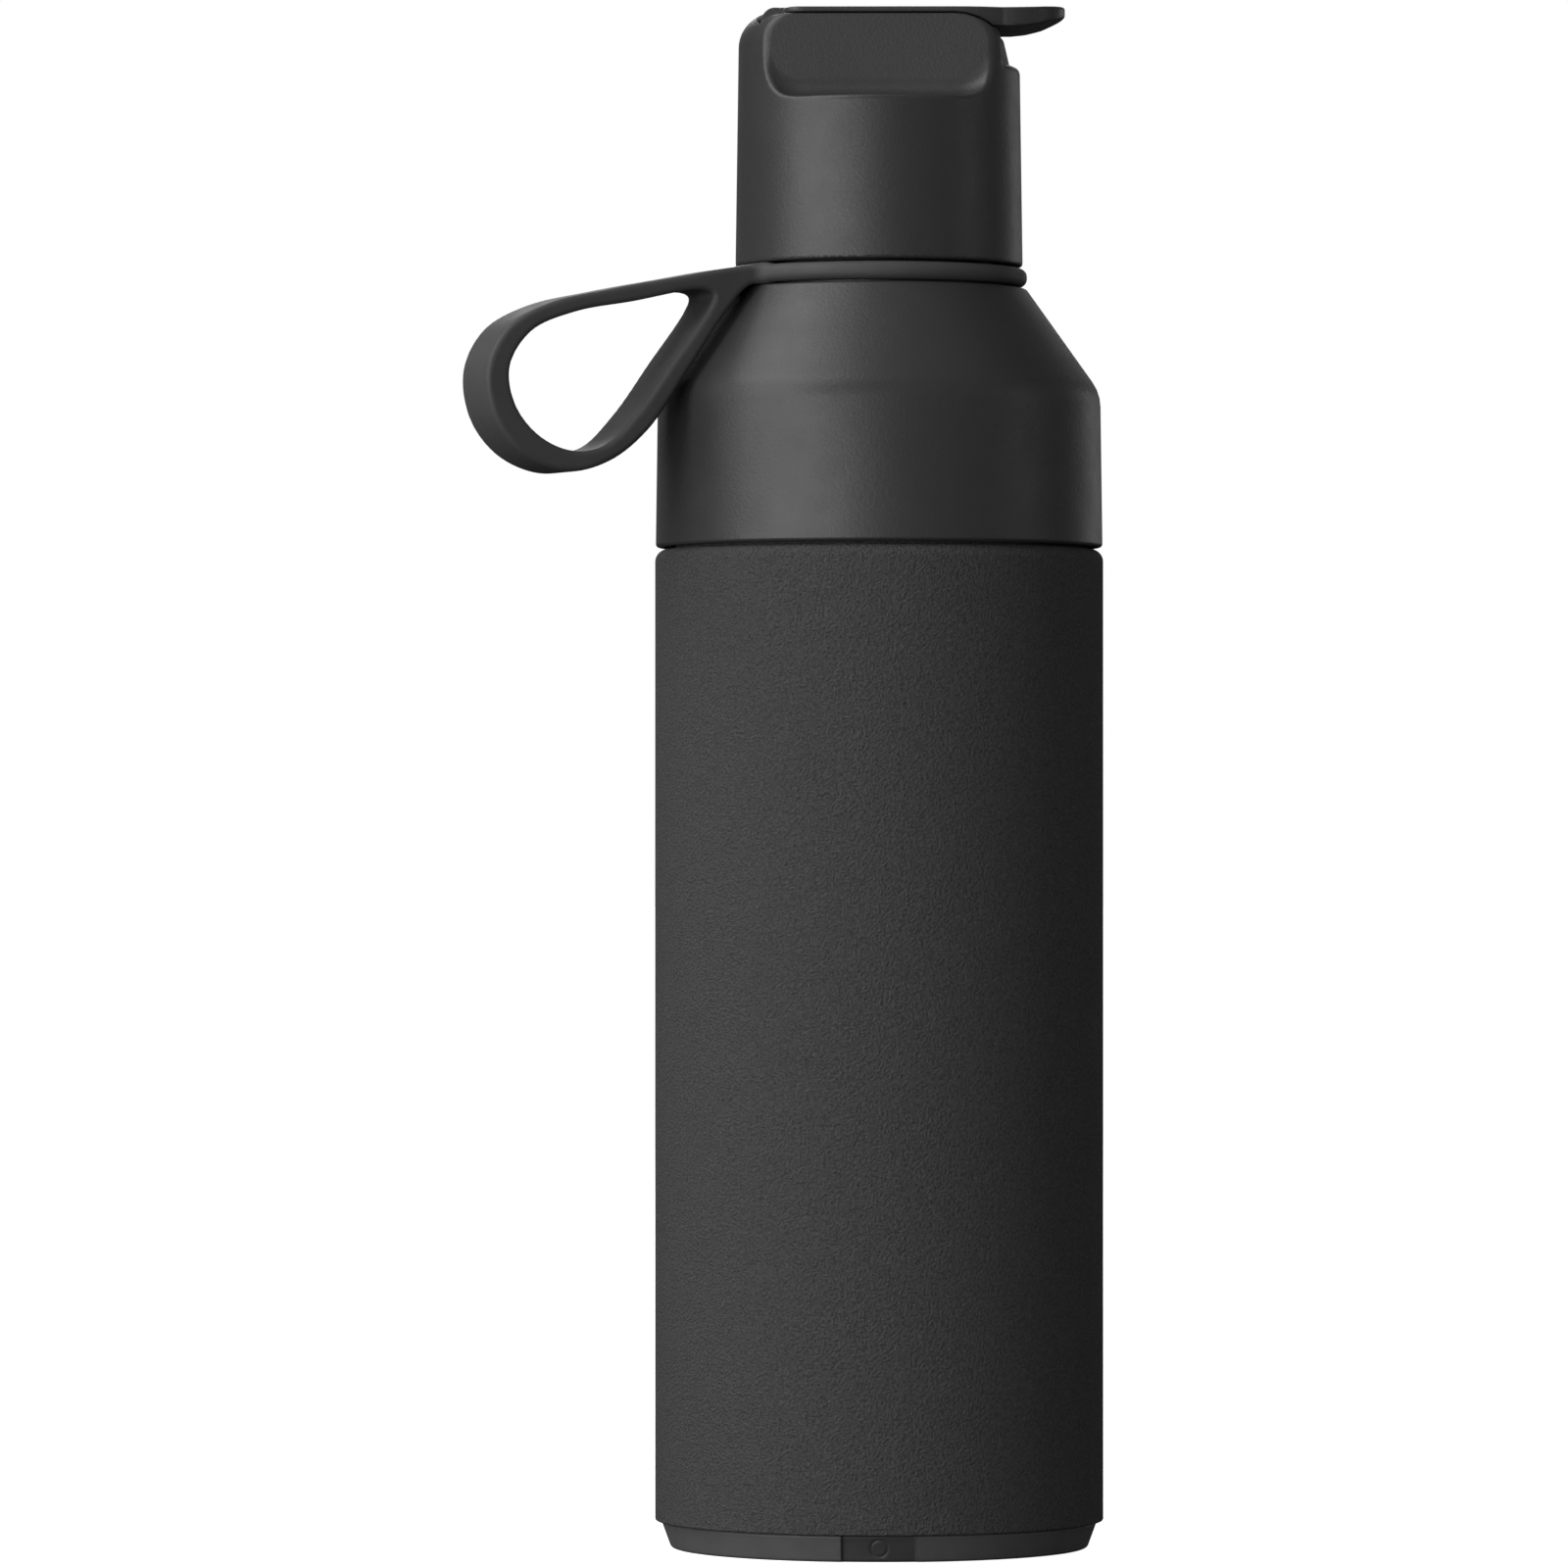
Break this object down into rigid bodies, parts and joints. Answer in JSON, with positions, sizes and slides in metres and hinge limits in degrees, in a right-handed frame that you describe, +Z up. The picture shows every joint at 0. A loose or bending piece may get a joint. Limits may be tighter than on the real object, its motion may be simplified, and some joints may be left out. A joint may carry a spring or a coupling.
{
  "type": "insulated water bottle",
  "caption": "Double-wall insulated bottle with a screw-on collar, a screw cap with a flip-lid spout, a rubber base boot and a silicone carry loop round the neck.",
  "frame": {"origin": "on the flask's axis, at the flat underside of the base boot", "axes": "+Z up along the flask's axis, +X towards the drinking side and the lid's tab, -Y the side with the boot's panel"},
  "size_m": [0.1035, 0.073, 0.2508],
  "materials": {
    "powder_coat": "fine matt powder coat, near black",
    "satin_black": "smooth satin black",
    "inner_plastic": "moulded plastic, fine grain",
    "silicone": "smooth matt silicone",
    "boot_rubber": "matt rubber",
    "clear_seal": "translucent food-grade silicone",
    "steel": "brushed and polished stainless steel"
  },
  "bodies": {
    "flask": {"outer_shell": "powder_coat", "bottom_plate": "steel", "sealing_plug": "steel", "inner_flask": "steel", "getter": "steel", "base_boot": "boot_rubber"},
    "collar_lift": {"collar_seal": "clear_seal"},
    "collar": {"collar_shell": "satin_black", "collar_core": "inner_plastic"},
    "strap": {"strap_ring": "silicone"},
    "carry_loop": {"strap_loop": "silicone"},
    "cap_lift": {"cap_seal": "clear_seal"},
    "cap": {"cap_shell": "satin_black", "cap_core": "inner_plastic", "spout": "inner_plastic", "hinge_pin": "steel"},
    "lid": {"flip_lid": "satin_black", "lid_liner": "inner_plastic", "mouth_plug": "clear_seal", "vent_plug": "clear_seal"}
  },
  "joints": [
    {"name": "collar_rise", "type": "slide", "parent": "flask", "child": "collar_lift", "axis": [0, 0, 1], "range_m": [0, 0.0081]},
    {"name": "collar_turn", "type": "hinge", "parent": "collar_lift", "child": "collar", "pos_m": [0, 0, 0.168], "axis": [0, 0, 1], "range_deg": [0, 720]},
    {"name": "cap_rise", "type": "slide", "parent": "collar", "child": "cap_lift", "axis": [0, 0, 1], "range_m": [0, 0.0081]},
    {"name": "cap_turn", "type": "hinge", "parent": "cap_lift", "child": "cap", "pos_m": [0, 0, 0.215], "axis": [0, 0, 1], "range_deg": [0, 720]},
    {"name": "lid_hinge", "type": "hinge", "parent": "cap", "child": "lid", "pos_m": [-0.0168, 0, 0.2477], "axis": [0, -1, 0], "range_deg": [0, 110]},
    {"name": "strap_swivel", "type": "hinge", "parent": "collar", "child": "strap", "pos_m": [0, 0, 0.2066], "axis": [0, 0, 1], "continuous": true},
    {"name": "strap_lift", "type": "hinge", "parent": "strap", "child": "carry_loop", "pos_m": [-0.02515, -0.01173, 0.20775], "axis": [-0.4226, 0.9063, 0], "range_deg": [0, 75], "stiffness_Nm_per_rad": 0.01}
  ],
  "couplings": [
    {"joint": "collar_rise", "follows": "collar_turn", "m_per_rad": 0.00063662},
    {"joint": "cap_rise", "follows": "cap_turn", "m_per_rad": 0.00063662}
  ]
}
